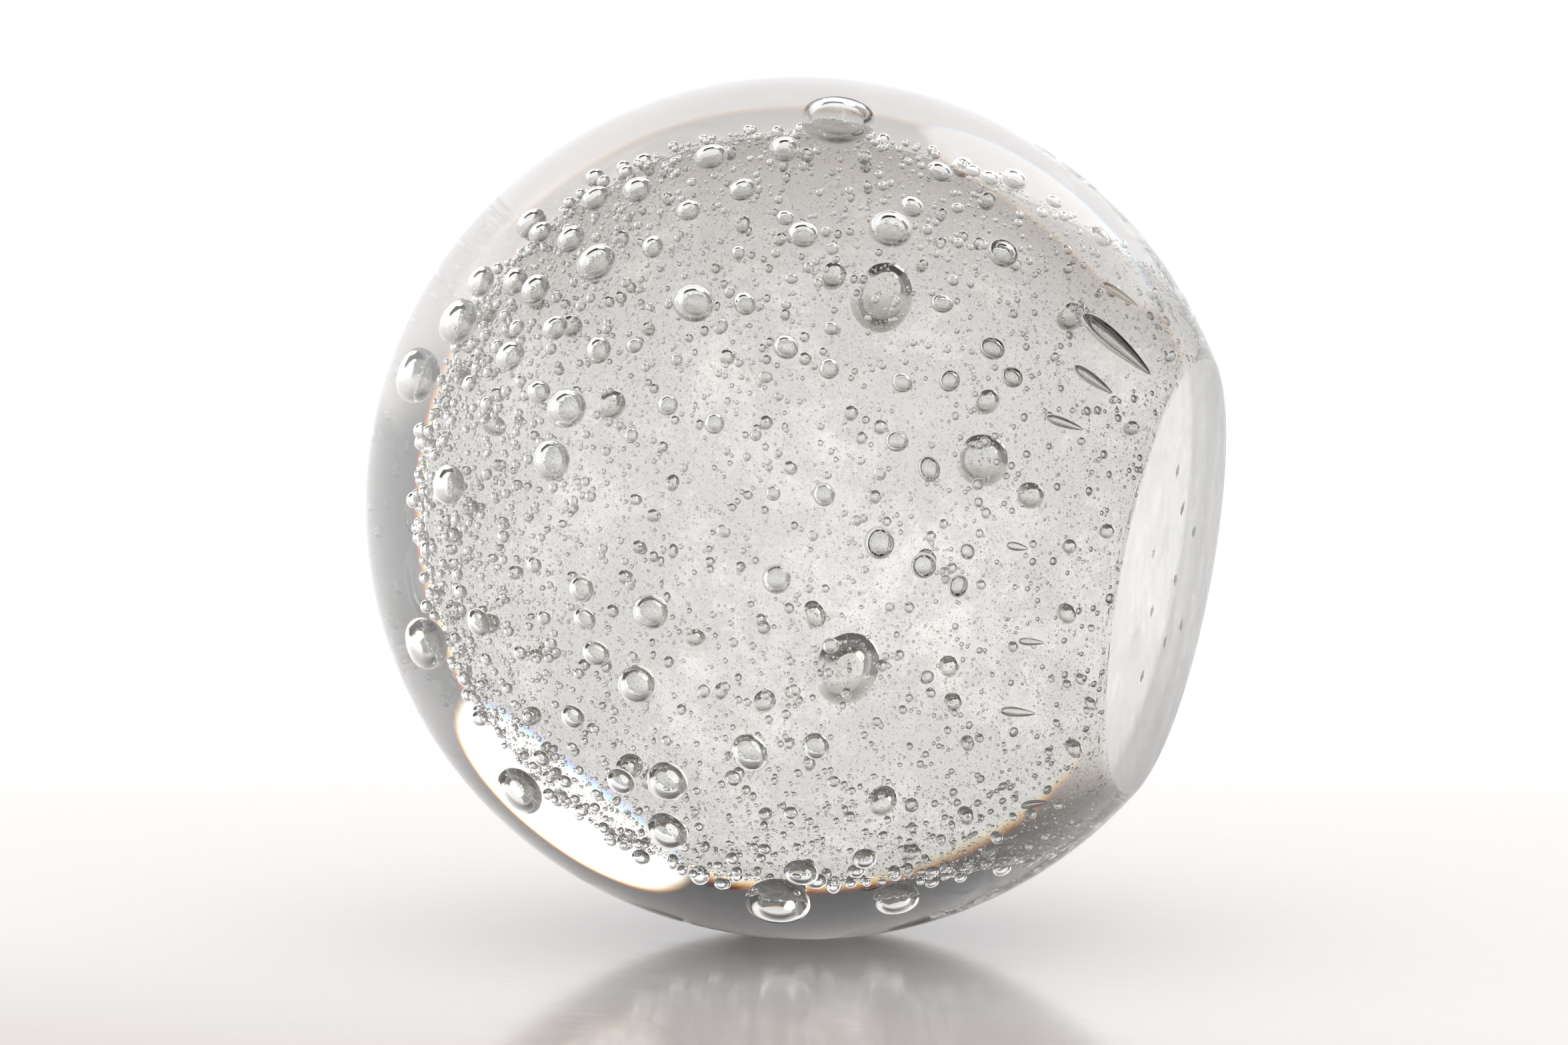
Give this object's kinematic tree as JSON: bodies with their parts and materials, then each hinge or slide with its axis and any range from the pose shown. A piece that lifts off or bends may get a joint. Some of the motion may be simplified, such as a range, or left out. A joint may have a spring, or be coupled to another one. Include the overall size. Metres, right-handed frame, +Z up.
{
  "type": "glass paperweight",
  "caption": "Near-spherical clear glass paperweight with a ground flat base and a veil of fine seeds and larger round air bubbles trapped between two glass layers.",
  "frame": {"origin": "centre of the ground flat base, on the surface that the paperweight stands on", "axes": "+Z up along the ball's axis, from the ground base to the top of the dome; the show side faces halfway between +X and -Y"},
  "size_m": [0.076, 0.076, 0.072],
  "materials": {
    "clear_glass": "polished",
    "seeded_glass": "polished",
    "core_glass": "polished",
    "trapped_air": "polished"
  },
  "bodies": {
    "root": {"outer_casing": "clear_glass", "seed_veil": "seeded_glass", "inner_core": "core_glass", "large_bubbles": "trapped_air", "medium_bubbles": "trapped_air", "small_bubbles": "trapped_air", "drawn_bubbles": "trapped_air"}
  },
  "joints": []
}
